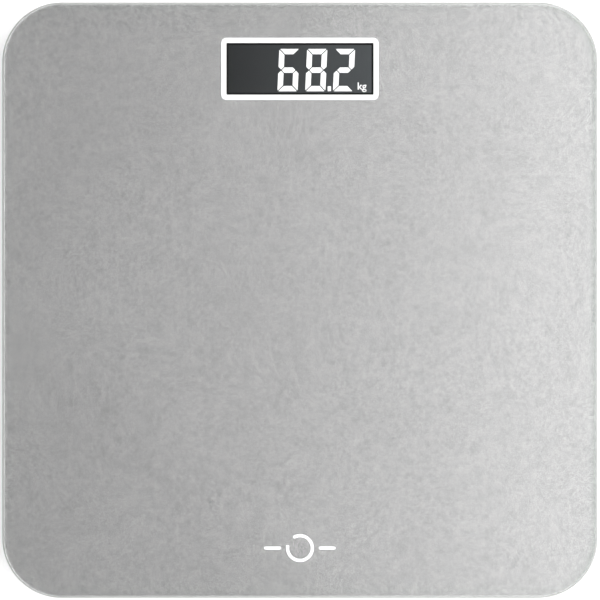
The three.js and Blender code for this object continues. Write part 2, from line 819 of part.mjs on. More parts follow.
// Profiles are in (y, z) for the negative leaf and (x, z) for the positive one.
function contactNegative() {
  const t = contactThickness;
  const tail = wireZ - wireRadius - touch - t;
  const profile = bentStrip([
    [-7, roofBottom - t - fitGap], [-4, roofBottom - t - fitGap], [-1.5, coinTop + touch],
    [1.5, coinTop + touch], [4, roofBottom - t - fitGap], [negativeTailY + t, roofBottom - t - fitGap],
    [negativeTailY + t, tail], [negativeTailY + t + 5, tail],
  ], t);
  const settings = { depth: contactWidth, bevelEnabled: false };
  const strip = new THREE.ExtrudeGeometry(profile, settings).translate(0, 0, -contactWidth / 2);
  return turnProfile(strip).translate(0, wellY, 0);
}

// Takes a strip drawn in (x, y) and extruded along z to one drawn in (y, z), extruded along x.
function turnProfile(strip) {
  return strip.rotateX(Math.PI / 2).rotateZ(Math.PI / 2);
}

function contactPositive() {
  const t = contactThickness;
  const tail = wireZ - wireRadius - touch - t;
  const rim = coinDiameter / 2 + touch + t;
  const profile = bentStrip([
    [rim + 1, coinBottom + 0.6], [rim, coinBottom + 1.4], [positiveTailX, roofBottom - 0.3],
    [positiveTailX, tail], [positiveTailX + 5, tail],
  ], t);
  const settings = { depth: contactWidth, bevelEnabled: false };
  const strip = new THREE.ExtrudeGeometry(profile, settings);
  return strip.rotateX(Math.PI / 2).translate(0, wellY + contactWidth / 2, 0);
}

function wireNegative() {
  const start = wellY + negativeTailY + 3;
  return routed([[0, start], [0, boardY - boardHeight / 2 + 3]], wireZ, wireRadius, 4);
}

function wirePositive() {
  const lane = wireLanes[1];
  const end = boardY - boardHeight / 2 + 3;
  return routed([[positiveTailX + 2, wellY], [lane, wellY], [lane, end]], wireZ, wireRadius, 3);
}

function batteryDoor() {
  const doorX = [-doorWidth / 2, doorWidth / 2];
  const plate = box(doorX, [hingeY, doorFreeY], [trayStandoff, doorTop]);
  const barrel = barAlongX(hingeY, hingeZ, hingeRadius, ...doorX, 24);
  const reach = doorWidth / 2 + pinLength;
  const pins = barAlongX(hingeY, hingeZ, pinRadius, -reach, reach);
  const latchY = wellY + wellLength / 2 - doorGap;
  const latch = box([-5, 5], [latchY - 1.4, latchY], [doorTop - 0.5, frameBlockTop + 0.2]);
  const flexSlots = [-1, 1].map((side) => box(
    [side * 6.5 - 0.5, side * 6.5 + 0.5], [latchY - 5, doorFreeY + 1],
    [trayStandoff - 1, doorTop + 1]));
  const grips = [0, 1, 2].map((i) => box(
    [-4.5, 4.5], [latchY - 3.2 + i * 1.8, latchY - 2.4 + i * 1.8],
    [trayStandoff - 1, trayStandoff + 0.4]));
  return cut(join(plate, barrel, pins, latch), flexSlots, grips);
}

addPiece('coin_cell', coinCell(), 0xc4c6c8, 0.3, 1);
addPiece('contact_negative', contactNegative(), 0xc9ccd0, 0.3, 1);
addPiece('contact_positive', contactPositive(), 0xc9ccd0, 0.3, 1);
addPiece('wire_negative', wireNegative(), 0x1b1b1c, 0.5);
addPiece('wire_positive', wirePositive(), 0xb01c1c, 0.5);
addPiece('battery_door', batteryDoor(), 0x9da0a3, 0.6);

export default scale;
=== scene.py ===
import math

import bmesh
import bpy
from mathutils import Matrix, Vector


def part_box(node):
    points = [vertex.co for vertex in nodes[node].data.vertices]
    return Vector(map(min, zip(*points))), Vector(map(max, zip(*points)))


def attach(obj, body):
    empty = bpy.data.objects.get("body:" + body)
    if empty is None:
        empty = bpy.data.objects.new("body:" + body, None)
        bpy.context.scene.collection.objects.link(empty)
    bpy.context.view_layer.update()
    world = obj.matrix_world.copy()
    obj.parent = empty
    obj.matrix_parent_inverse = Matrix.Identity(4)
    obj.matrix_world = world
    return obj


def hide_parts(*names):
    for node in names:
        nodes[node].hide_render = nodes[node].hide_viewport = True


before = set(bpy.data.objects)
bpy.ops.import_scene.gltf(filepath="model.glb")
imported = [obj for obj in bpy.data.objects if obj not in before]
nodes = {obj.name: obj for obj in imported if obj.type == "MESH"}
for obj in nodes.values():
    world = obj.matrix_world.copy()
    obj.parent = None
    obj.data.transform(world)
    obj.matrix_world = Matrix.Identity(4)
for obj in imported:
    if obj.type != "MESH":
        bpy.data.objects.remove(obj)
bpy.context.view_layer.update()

CORNERS = ("front_left", "front_right", "back_left", "back_right")


# ---------------------------------------------------------------------------
# Glass platform. A square of tempered float glass with big rounded corners,
# cut, ground to an arris on both edges, polished and then toughened.
# ---------------------------------------------------------------------------

class Value:
    """One socket of a finish. Arithmetic on it adds Math nodes."""

    def __init__(self, finish, socket):
        self.finish = finish
        self.socket = socket

    def math(self, operation, first, second):
        return self.finish.node("ShaderNodeMath", {"operation": operation}, {0: first, 1: second})

    def __add__(self, other):
        return self.math("ADD", self, other)

    def __radd__(self, other):
        return self.math("ADD", other, self)

    def __sub__(self, other):
        return self.math("SUBTRACT", self, other)

    def __rsub__(self, other):
        return self.math("SUBTRACT", other, self)

    def __mul__(self, other):
        return self.math("MULTIPLY", self, other)

    def __rmul__(self, other):
        return self.math("MULTIPLY", other, self)

    def power(self, exponent):
        return self.math("POWER", self, exponent)


class Finish:
    """A node material under construction."""

    def __init__(self, name):
        self.material = bpy.data.materials.new(name)
        self.material.use_nodes = True
        self.tree = self.material.node_tree
        self.tree.nodes.clear()
        self.output = self.tree.nodes.new("ShaderNodeOutputMaterial")
        self.place = self.node("ShaderNodeTexCoord", {}, {}, "Object")

    def node(self, kind, settings, inputs, output=0):
        made = self.tree.nodes.new(kind)
        for key, value in settings.items():
            setattr(made, key, value)
        for key, value in inputs.items():
            if isinstance(value, Value):
                self.tree.links.new(value.socket, made.inputs[key])
            else:
                made.inputs[key].default_value = value
        return Value(self, made.outputs[output])

    def noise(self, size, detail=2.0, roughness=0.5, stretch=(1, 1, 1)):
        """Noise from 0 to 1 whose blobs are about size metres across."""
        spread = self.node("ShaderNodeMapping", {}, {
            "Vector": self.place, "Scale": [s / size for s in stretch]})
        return self.node("ShaderNodeTexNoise", {}, {
            "Vector": spread, "Scale": 1.0, "Detail": detail, "Roughness": roughness})

    def tint(self, share, dark, light):
        """A colour between two, by a share from 0 to 1."""
        return self.node("ShaderNodeMix", {"data_type": "RGBA"}, {
            0: share, 6: (*dark, 1), 7: (*light, 1)}, 2)

    def bump(self, height, depth, strength=1.0):
        return self.node("ShaderNodeBump", {}, {
            "Height": height, "Distance": depth, "Strength": strength})

    def principled(self, inputs):
        return self.node("ShaderNodeBsdfPrincipled", {}, inputs)

    def done(self, surface, volume=None):
        self.tree.links.new(surface.socket, self.output.inputs["Surface"])
        if volume:
            self.tree.links.new(volume.socket, self.output.inputs["Volume"])
        return self.material


GLASS_IOR = 1.52


def lamp_lit(finish, glass, passed):
    """Lets lamps shine straight through the glass, which is faintly green in its depth."""
    through = finish.node("ShaderNodeBsdfTransparent", {}, {"Color": (*passed, 1)})
    shadow = finish.node("ShaderNodeLightPath", {}, {}, "Is Shadow Ray")
    surface = finish.node("ShaderNodeMixShader", {}, {0: shadow, 1: glass, 2: through})
    body = finish.node("ShaderNodeVolumeAbsorption", {}, {
        "Color": (0.92, 0.96, 0.93, 1), "Density": 1.0})
    return finish.done(surface, body)


def clear_glass(name):
    """The polished faces, fire-bright as they come from the float bath."""
    finish = Finish(name)
    glass = finish.principled({
        "Base Color": (1, 1, 1, 1), "Roughness": 0.0, "IOR": GLASS_IOR,
        "Transmission Weight": 1.0})
    return lamp_lit(finish, glass, (0.975, 0.98, 0.976))


def ground_glass(name):
    """The arris: ground to a satin by the edging wheel, with fine scratches along it."""
    finish = Finish(name)
    scratches = finish.noise(0.0004, 3.0, 0.6, (0.2, 0.2, 3))
    pitted = finish.noise(0.00025, 2.0)
    glass = finish.principled({
        "Base Color": (0.33, 0.335, 0.33, 1), "Roughness": 0.30 + scratches * 0.2,
        "IOR": GLASS_IOR, "Transmission Weight": 0.3, "Normal": finish.bump(pitted, 0.00003)})
    return lamp_lit(finish, glass, (0.95, 0.955, 0.952))


def deselect():
    if bpy.context.object and bpy.context.object.mode != "OBJECT":
        bpy.ops.object.mode_set(mode="OBJECT")
    bpy.ops.object.select_all(action="DESELECT")


def choose(ob):
    deselect()
    ob.select_set(True)
    bpy.context.view_layer.objects.active = ob
    return ob


def settle(name):
    """Names the new primitive and moves its place into its mesh."""
    ob = bpy.context.object
    bpy.ops.object.transform_apply(location=True, rotation=True, scale=True)
    ob.name = name
    ob.data.name = name
    return ob


def block(name, low, high):
    deselect()
    bpy.ops.mesh.primitive_cube_add(
        size=1, location=[(a + b) / 2 for a, b in zip(low, high)],
        scale=[b - a for a, b in zip(low, high)])
    return settle(name)


def pick(ob, kind, test):
    """Edit mode on ob, with only the parts that pass the test selected."""
    choose(ob)
    bpy.ops.object.mode_set(mode="EDIT")
    bpy.ops.mesh.select_mode(type=kind)
    bpy.ops.mesh.select_all(action="DESELECT")
    mesh = bmesh.from_edit_mesh(ob.data)
    mesh.normal_update()
    for part in {"VERT": mesh.verts, "EDGE": mesh.edges, "FACE": mesh.faces}[kind]:
        if test(part):
            part.select_set(True)
    mesh.select_flush_mode()
    bmesh.update_edit_mesh(ob.data)


def upright(edge):
    a, b = (v.co for v in edge.verts)
    return (a.xy - b.xy).length < 1e-6 < abs(a.z - b.z)


def rim_at(z):
    """Edges on a level where a flat face meets something that isn't level."""
    def test(edge):
        if not all(abs(v.co.z - z) < 2e-6 for v in edge.verts):
            return False
        return any(abs(f.normal.z) < 0.99 for f in edge.link_faces)
    return test


def rounded_block(name, low, high, corner, segments=16):
    ob = block(name, low, high)
    pick(ob, "EDGE", upright)
    bpy.ops.mesh.bevel(offset=corner, segments=segments, affect="EDGES")
    bpy.ops.object.mode_set(mode="OBJECT")
    return ob


def ease(ob, z, size, segments=2):
    """Breaks the edges all round a level face."""
    pick(ob, "EDGE", rim_at(z))
    bpy.ops.mesh.bevel(offset=size, segments=segments, affect="EDGES")
    bpy.ops.object.mode_set(mode="OBJECT")


def is_level(face):
    return abs(face.normal.z) > 0.99999


def smooth(ob, degrees=30):
    """Smooth shading that leaves the level faces dead flat up to their edges."""
    choose(ob)
    bpy.ops.object.shade_smooth_by_angle(angle=math.radians(degrees))
    pick(ob, "EDGE", lambda e: [is_level(f) for f in e.link_faces] in ([True, False], [False, True]))
    bpy.ops.mesh.mark_sharp()
    bpy.ops.object.mode_set(mode="OBJECT")


def wear(ob, *materials):
    ob.data.materials.clear()
    for material in materials:
        ob.data.materials.append(material)


def fit(ob, body, slot, *stands_for):
    """Rides on a body and stands for CAD nodes, which it hides. The slot argument is not used."""
    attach(ob, body)
    if stands_for:
        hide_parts(*stands_for)
    return ob


PLATFORM_CORNER = 0.030
ARRIS = 0.0007
ARRIS_ROUNDING = 0.0001
glass_low, glass_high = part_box("glass_platform")

platform = rounded_block("platform", glass_low, glass_high, PLATFORM_CORNER, 32)
for level in (glass_low.z, glass_high.z):
    ease(platform, level, ARRIS, 1)
for level in (glass_low.z, glass_high.z, glass_low.z + ARRIS, glass_high.z - ARRIS):
    ease(platform, level, ARRIS_ROUNDING)
wear(platform, clear_glass("float_glass"), ground_glass("ground_edge"))
pick(platform, "FACE", lambda f: abs(f.normal.z) < 0.98)
platform.active_material_index = 1
bpy.ops.object.material_slot_assign()
bpy.ops.object.mode_set(mode="OBJECT")
smooth(platform, 25)
fit(platform, "scale", "glass", "glass_platform")


# ---------------------------------------------------------------------------
# Silver print. A satin metallic enamel, screen printed on the back of the
# glass and fired in, left open for the display and for the white emblem.
# ---------------------------------------------------------------------------

BOND = 0.00003  # how far the fired print reaches into the glass, so no air shows between


def silver_enamel():
    finish = Finish("silver_enamel")
    flake = finish.noise(0.0011, 3.0, 0.75)
    cloud = finish.noise(0.035, 3.0, 0.6)
    mesh_mark = finish.noise(0.0016, 2.0, 0.6, (1, 0.25, 1))
    share = 0.5 + (flake - 0.5) * 4.8 + (cloud - 0.5) * 0.35 + (mesh_mark - 0.5) * 0.6
    return finish.done(finish.principled({
        "Base Color": finish.tint(share, (0.545, 0.541, 0.543), (0.732, 0.726, 0.729)),
        "Metallic": 0.9,
        "Roughness": 0.24 - (flake - 0.5) * 0.05,
        "Normal": finish.bump(flake, 0.00002, 0.6)}))


def white_enamel(name, lightness):
    finish = Finish(name)
    mottle = finish.noise(0.0012, 3.0, 0.6)
    dark = [lightness - 0.03] * 3
    light = [lightness + 0.02] * 3
    return finish.done(finish.principled({
        "Base Color": finish.tint(mottle, dark, light),
        "Roughness": 0.45 + (mottle - 0.5) * 0.1,
        "Normal": finish.bump(mottle, 0.00001)}))


def carve(ob, tool, operation="DIFFERENCE"):
    modifier = ob.modifiers.new("carve", "BOOLEAN")
    modifier.operation = operation
    modifier.solver = "EXACT"
    modifier.object = tool
    choose(ob)
    bpy.ops.object.modifier_apply(modifier=modifier.name)
    bpy.data.objects.remove(tool)


def printed(low, high):
    """A printed layer's box, sunk into the glass by its bond."""
    return Vector(low), Vector((high.x, high.y, high.z + BOND))


CUTTER_REACH = 0.001  # how far a cutter stands out of the layer that it cuts


def cutter(low, high, margin):
    """The box of a cutter, wider than a layer by a margin, and standing out of it."""
    out = Vector((margin, margin, CUTTER_REACH))
    return low - out, high + out


BORDER_CORNER = 0.0028
BORDER_INNER_CORNER = 0.0004
BORDER_WIDTH = 0.00265
PRINT_GAP = 0.00005
EMBLEM_STROKE = 0.0015
EMBLEM_HALF_GAP = math.pi / 7

print_low, print_high = printed(*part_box("platform_print"))
border_low, border_high = printed(*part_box("window_border"))
ring_low, ring_high = printed(*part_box("emblem_ring"))


def emblem_arc(name, stroke, z_low, z_high):
    """An open ring with round ends, spun from its own cross-section."""
    radius = (ring_high.x - ring_low.x - EMBLEM_STROKE) / 2
    middle = Vector((0, ring_low.y + (ring_high.x - ring_low.x) / 2, 0))
    gap = EMBLEM_HALF_GAP
    start = math.pi / 2 + gap
    side = Matrix.Rotation(start, 3, "Z")
    at = middle + side @ Vector((radius, 0, 0))
    deselect()
    bpy.ops.mesh.primitive_plane_add(
        size=1, location=(at.x, at.y, (z_low + z_high) / 2),
        rotation=(math.pi / 2, 0, start))
    arc = bpy.context.object
    arc.scale = (stroke, z_high - z_low, 1)
    settle(name)
    pick(arc, "FACE", lambda f: True)
    bpy.ops.mesh.spin(
        steps=72, angle=math.tau - 2 * gap, center=middle, axis=(0, 0, 1), dupli=False)
    bpy.ops.mesh.select_all(action="SELECT")
    bpy.ops.mesh.remove_doubles(threshold=1e-7)
    bpy.ops.mesh.normals_make_consistent(inside=False)
    for turn in (start, start - 2 * gap):
        end = middle + Matrix.Rotation(turn, 3, "Z") @ Vector((radius, 0, 0))
        deselect()
        bpy.ops.mesh.primitive_cylinder_add(
            vertices=32, radius=stroke / 2, depth=z_high - z_low,
            location=(end.x, end.y, (z_low + z_high) / 2))
        cap = settle("cap")
        carve(arc, cap, "UNION")
    return arc


sheet = rounded_block("silver_print", print_low, print_high, PLATFORM_CORNER - ARRIS, 32)
carve(sheet, rounded_block(
    "window_tool", *cutter(border_low, border_high, PRINT_GAP),
    BORDER_CORNER + PRINT_GAP, 12))
carve(sheet, emblem_arc(
    "ring_tool", EMBLEM_STROKE + 2 * PRINT_GAP,
    print_low.z - CUTTER_REACH, print_high.z + CUTTER_REACH))
for name in ("emblem_bar_left", "emblem_bar_right"):
    low, high = printed(*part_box(name))
    carve(sheet, rounded_block(
        "bar_tool", *cutter(low, high, PRINT_GAP), EMBLEM_STROKE * 0.46, 8))
wear(sheet, silver_enamel())
smooth(sheet)
fit(sheet, "scale", "silver_print", "platform_print")


# ---------------------------------------------------------------------------
# White print. The window's frame and the plain ring-and-bars mark, in opaque
# white enamel laid into the openings of the silver.
# ---------------------------------------------------------------------------

border = rounded_block("window_frame_print", border_low, border_high, BORDER_CORNER, 12)
carve(border, rounded_block(
    "inner_tool", *cutter(border_low, border_high, -BORDER_WIDTH), BORDER_INNER_CORNER, 4))
wear(border, white_enamel("white_enamel", 0.44))
smooth(border)
fit(border, "scale", "white_print", "window_border")

emblem_white = white_enamel("emblem_enamel", 0.52)
ring = emblem_arc("emblem_ring_print", EMBLEM_STROKE, ring_low.z, ring_high.z)
wear(ring, emblem_white)
smooth(ring)
fit(ring, "scale", "white_print", "emblem_ring")
for side in ("left", "right"):
    low, high = printed(*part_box(f"emblem_bar_{side}"))
    bar = rounded_block(f"emblem_bar_{side}_print", low, high, EMBLEM_STROKE * 0.49, 8)
    wear(bar, emblem_white)
    smooth(bar)
    fit(bar, "scale", "white_print", f"emblem_bar_{side}")


# ---------------------------------------------------------------------------
# Display. A negative LCD, two sheets of glass with a dark polariser, lit from
# behind, so its digits and unit show white. A black mask frames the cell, and
# its near-black ink is also painted shade for the white frame's shadow on it.
# ---------------------------------------------------------------------------

def polariser(name, lightness, glow):
    """Dark film, with a little of the backlight leaking through; its rise towards the right is a
    painted reflection, not backlight.
    """
    finish = Finish(name)
    film = finish.noise(0.0006, 2.0)
    across = finish.node("ShaderNodeSeparateXYZ", {}, {"Vector": finish.place})
    # painted reflection: the glow rises from left to right across the cell by position alone, on top
    # of a faint real backlight leak
    leak_and_painted_sheen = finish.node("ShaderNodeMapRange", {}, {
        "Value": across, "From Min": -0.036, "From Max": 0.036, "To Min": 0.12, "To Max": 1.0})
    share = leak_and_painted_sheen * 0.9 + film * 0.1
    tone = finish.tint(share, [0, 0, 0], [glow * t for t in (0.90, 1.0, 1.06)])
    return finish.done(finish.principled({
        "Base Color": (lightness, lightness * 1.1, lightness * 1.15, 1),
        "Roughness": 0.3 + film * 0.08, "Specular IOR Level": 0.18,
        "Emission Color": tone, "Emission Strength": 1.0,
        "Normal": finish.bump(film, 0.000004)}))


def lit_segment():
    finish = Finish("lit_segment")
    uneven = finish.noise(0.004, 2.0)
    tone = finish.tint(uneven, (0.93, 0.95, 0.97), (1.0, 1.0, 1.0))
    return finish.done(finish.principled({
        "Base Color": (0.25, 0.25, 0.25, 1), "Roughness": 0.5,
        "Emission Color": tone, "Emission Strength": 0.45}))


def plain(name, dark, light, size, roughness, depth, metallic=0.0, stretch=(1, 1, 1),
          shine=0.5):
    """A moulded, plated or coated finish with its own grain and unevenness."""
    finish = Finish(name)
    grain = finish.noise(size, 4.0, 0.6, stretch)
    cloud = finish.noise(size * 25, 2.0, 0.5)
    return finish.done(finish.principled({
        "Base Color": finish.tint(grain * 0.5 + cloud * 0.5, dark, light),
        "Metallic": metallic, "Specular IOR Level": shine,
        "Roughness": roughness + (grain - 0.5) * 0.15 + (cloud - 0.5) * 0.1,
        "Normal": finish.bump(grain, depth)}))


def coat(material, *names):
    """Gives CAD nodes that stay a better material."""
    for name in names:
        for material_slot in nodes[name].material_slots:
            material_slot.material = material


cell_low, cell_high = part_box("lcd_front_glass")
display_centre = (border_low + border_high) / 2
SEGMENT_LIFT = 0.00002
SEGMENT_THICKNESS = 0.00006
segment_low = cell_high.z + SEGMENT_LIFT
segment_high = segment_low + SEGMENT_THICKNESS

coat(polariser("dark_polariser", 0.003, 0.068), "lcd_front_glass")
coat(polariser("rear_polariser", 0.06, 0.03), "lcd_rear_glass")
coat(plain("black_frame", (0.012, 0.012, 0.013), (0.03, 0.03, 0.032), 0.0004, 0.55, 0.00002),
     "lcd_frame")
coat(plain("frosted_guide", (0.82, 0.86, 0.9), (0.93, 0.95, 0.97), 0.0003, 0.35, 0.00001),
     "backlight_guide")
coat(plain("lamp_body", (0.82, 0.78, 0.6), (0.93, 0.9, 0.76), 0.0003, 0.4, 0.00001),
     "backlight_led")
coat(plain("layered_rubber", (0.05, 0.05, 0.055), (0.5, 0.5, 0.52), 0.0002, 0.7, 0.00001,
           stretch=(1, 0.01, 0.01)), "zebra_strip")

MASK_TUCK = 0.0008  # how far the black mask runs on beneath the white frame
MASK_WIDTH = 0.0018
mask_inset = BORDER_WIDTH - MASK_TUCK
mask_low = Vector((border_low.x + mask_inset, border_low.y + mask_inset, segment_low))
mask_high = Vector((border_high.x - mask_inset, border_high.y - mask_inset, segment_high))
# painted shade: a near-black band just inside the white frame, partly the cell's own mask and partly
# standing in for the frame's shadow
mask = rounded_block("display_mask_and_painted_shade", mask_low, mask_high, 0.0006, 4)
carve(mask, rounded_block("mask_tool", *cutter(mask_low, mask_high, -MASK_WIDTH), 0.0003, 3))
wear(mask, plain("mask_ink_and_painted_shade", (0.001, 0.001, 0.001), (0.003, 0.003, 0.003), 0.0005, 0.8, 0.00001,
                 shine=0.1))
fit(mask, "scale", "black_plastic")

DIGIT_HEIGHT = 0.0214
DIGIT_WIDTH = 0.0102
STROKE = 0.0027
SEGMENT_GAP = 0.00034
CORNER_CLIP = 0.0004
POINTED = STROKE * 0.495  # a chamfer that brings a bar's end to a point
LEAN = math.tan(math.radians(2.7))
DIGIT_DROP = 0.0006
POINT_HALF_WIDTH = 0.00085
POINT_HALF_HEIGHT = 0.00125
digit_y = display_centre.y - DIGIT_DROP


def bar_block(length, axis):
    size = [STROKE, STROKE]
    size[axis] = length
    return block("segment", (-size[0] / 2, -size[1] / 2, segment_low),
                 (size[0] / 2, size[1] / 2, segment_high))


def draw_in(bar, axis, end, side):
    """Mitres one end at 45 degrees by drawing its corner on one side in by a stroke."""
    pick(bar, "VERT", lambda v: v.co[axis] * end > 0 and v.co[1 - axis] * side > 0)
    value = [0.0, 0.0, 0.0]
    value[axis] = -end * STROKE
    bpy.ops.transform.translate(value=value)
    bpy.ops.object.mode_set(mode="OBJECT")


def chamfer(bar, test, offset, segments=1):
    pick(bar, "EDGE", lambda e: upright(e) and test(e.verts[0].co))
    bpy.ops.mesh.bevel(offset=offset, segments=segments, affect="EDGES")
    bpy.ops.object.mode_set(mode="OBJECT")


def level_bar(up):
    """Top or bottom bar: mitred at both ends, longest on the outside."""
    bar = bar_block(DIGIT_WIDTH - 2 * SEGMENT_GAP, 0)
    for end in (-1, 1):
        draw_in(bar, 0, end, -up)
    chamfer(bar, lambda p: p.y * up > 0, CORNER_CLIP, 2)
    return bar


def middle_bar():
    bar = bar_block(DIGIT_WIDTH - STROKE - 2 * SEGMENT_GAP, 0)
    chamfer(bar, lambda p: True, POINTED)
    return bar


def side_bar(right, up):
    """Upright bar: mitred where it meets the top or bottom, pointed where it meets the middle."""
    bar = bar_block(DIGIT_HEIGHT / 2 - 2 * SEGMENT_GAP, 1)
    draw_in(bar, 1, up, -right)
    chamfer(bar, lambda p: p.y * up < 0, POINTED)
    chamfer(bar, lambda p: p.y * up > 0 and p.x * right > 0, CORNER_CLIP, 2)
    return bar


def shift(ob, x, y):
    choose(ob)
    ob.location = (x, y, 0)
    bpy.ops.object.transform_apply(location=True, rotation=False, scale=False)
    return ob


def join(name, pieces):
    deselect()
    for piece in pieces:
        piece.select_set(True)
    bpy.context.view_layer.objects.active = pieces[0]
    bpy.ops.object.join()
    ob = bpy.context.object
    ob.name = name
    ob.data.name = name
    return ob


def digit(name, letters, centre_x):
    """Seven-segment figure: a top, b and c right, d bottom, e and f left, g middle."""
    x = (DIGIT_WIDTH - STROKE) / 2
    y = (DIGIT_HEIGHT - STROKE) / 2
    pieces = []
    for letter in letters:
        if letter in "ad":
            up = 1 if letter == "a" else -1
            pieces.append(shift(level_bar(up), 0, up * y))
        elif letter == "g":
            pieces.append(middle_bar())
        else:
            right = 1 if letter in "bc" else -1
            up = 1 if letter in "bf" else -1
            pieces.append(shift(side_bar(right, up), right * x, up * DIGIT_HEIGHT / 4))
    figure = join(name, pieces)
    lean = Matrix.Identity(4)
    lean[0][1] = LEAN
    figure.data.transform(lean)
    shift(figure, centre_x, digit_y)
    return figure


glowing = lit_segment()
figures = [
    digit("digit_tens", "acdefg", display_centre.x - 0.0058),
    digit("digit_units", "abcdefg", display_centre.x + 0.0082),
    digit("digit_tenths", "abdeg", display_centre.x + 0.0222),
]
point_x, point_y = display_centre.x + 0.0148, display_centre.y - 0.0100
figures.append(rounded_block(
    "decimal_point", (point_x - POINT_HALF_WIDTH, point_y - POINT_HALF_HEIGHT, segment_low),
    (point_x + POINT_HALF_WIDTH, point_y + POINT_HALF_HEIGHT, segment_high), 0.0002, 2))

deselect()
bpy.ops.object.text_add(location=(0, 0, 0))
unit = bpy.context.object
unit.data.body = "kg"
unit.data.size = 0.0052
unit.data.extrude = SEGMENT_THICKNESS / 2
unit.data.offset = 0.00005
unit.data.align_x = "CENTER"
bpy.ops.object.convert(target="MESH")
unit.location = (display_centre.x + 0.0312, display_centre.y - 0.0104,
                 (segment_low + segment_high) / 2)
settle("unit_kg")
figures.append(unit)
for figure in figures:
    wear(figure, glowing)
    fit(figure, "scale", "lcd_glass")


# ---------------------------------------------------------------------------
# Base tray. One injection moulding in mid-grey plastic, spark-textured
# outside, with ribs, screw posts and the battery well inside.
# ---------------------------------------------------------------------------

def moulded_plastic(name, dark, light, texture=0.00035, depth=0.00004):
    finish = Finish(name)
    spark = finish.noise(texture, 3.0, 0.65)
    flow = finish.noise(0.04, 3.0, 0.55)
    scuff = finish.noise(0.012, 6.0, 0.75, (1, 0.2, 1)).power(6.0) * 3.0
    return finish.done(finish.principled({
        "Base Color": finish.tint(0.3 + spark * 0.3 + flow * 0.4 - scuff * 0.3, dark, light),
        "Roughness": 0.5 + (spark - 0.5) * 0.2 + (flow - 0.5) * 0.1 - scuff * 0.1,
        "Normal": finish.bump(spark, depth, 0.8)}))


def remade(name, node):
    """A merged copy of a CAD node, as a piece of its own."""
    ob = bpy.data.objects.new(name, nodes[node].data.copy())
    bpy.context.scene.collection.objects.link(ob)
    ob.data.name = name
    pick(ob, "VERT", lambda v: True)
    bpy.ops.mesh.remove_doubles(threshold=2e-6)
    bpy.ops.mesh.dissolve_limited(angle_limit=math.radians(0.3))
    bpy.ops.object.mode_set(mode="OBJECT")
    return ob


tray_grey = moulded_plastic("tray_plastic", (0.32, 0.33, 0.34), (0.42, 0.43, 0.44))
tray = remade("tray_moulding", "base_tray")
wear(tray, tray_grey)
smooth(tray, 32)
fit(tray, "scale", "tray_plastic", "base_tray")

coat(plain("silicone_bond", (0.74, 0.73, 0.69), (0.86, 0.85, 0.82), 0.001, 0.6, 0.00008),
     "bond_lattice")


# ---------------------------------------------------------------------------
# Feet. At each corner a moulded plug in the tray's bore with a soft rubber
# pad let into its underside; the pad's rings grip the floor.
# ---------------------------------------------------------------------------

def rounded_profile(points, radius, steps=3):
    """Replaces each corner of a line of (radius, z) points with a small arc."""
    out = [points[0]]
    for before, at, after in zip(points, points[1:], points[2:]):
        a, p, b = Vector(before), Vector(at), Vector(after)
        reach = min(radius, (a - p).length * 0.45, (b - p).length * 0.45)
        start, end = p + (a - p).normalized() * reach, p + (b - p).normalized() * reach
        for i in range(steps + 1):
            t = i / steps
            out.append(tuple(start * (1 - t) ** 2 + p * 2 * t * (1 - t) + end * t * t))
    out.append(points[-1])
    return out


def turned(name, profile, x, y, sides=72):
    """A turned piece: a short cylinder whose end face is extruded and resized ring by ring."""
    (r0, z0), (r1, z1) = profile[:2]
    deselect()
    bpy.ops.mesh.primitive_cylinder_add(
        vertices=sides, radius=r0, depth=1e-3, location=(x, y, z0 + 0.5e-3))
    ob = settle(name)
    mesh_top = z0 + 1e-3
    pick(ob, "FACE", lambda f: f.normal.z > 0.9)
    bpy.ops.transform.translate(value=(0, 0, z1 - mesh_top))
    bpy.ops.transform.resize(value=(r1 / r0, r1 / r0, 1), center_override=(x, y, z1))
    radius, z = r1, z1
    for next_radius, next_z in profile[2:]:
        bpy.ops.mesh.extrude_region_move(TRANSFORM_OT_translate={"value": (0, 0, next_z - z)})
        share = next_radius / radius
        bpy.ops.transform.resize(value=(share, share, 1), center_override=(x, y, next_z))
        radius, z = next_radius, next_z
    bpy.ops.mesh.select_all(action="SELECT")
    bpy.ops.mesh.normals_make_consistent(inside=False)
    bpy.ops.object.mode_set(mode="OBJECT")
    smooth(ob, 40)
    return ob


def anti_slip_rubber():
    finish = Finish("anti_slip_rubber")
    grain = finish.noise(0.0005, 4.0, 0.7)
    dust = finish.noise(0.006, 5.0, 0.7)
    return finish.done(finish.principled({
        "Base Color": finish.tint(dust * 0.7 + grain * 0.3, (0.022, 0.022, 0.024),
                                  (0.075, 0.075, 0.078)),
        "Roughness": 0.72 + (grain - 0.5) * 0.3,
        "Normal": finish.bump(grain, 0.00006)}))


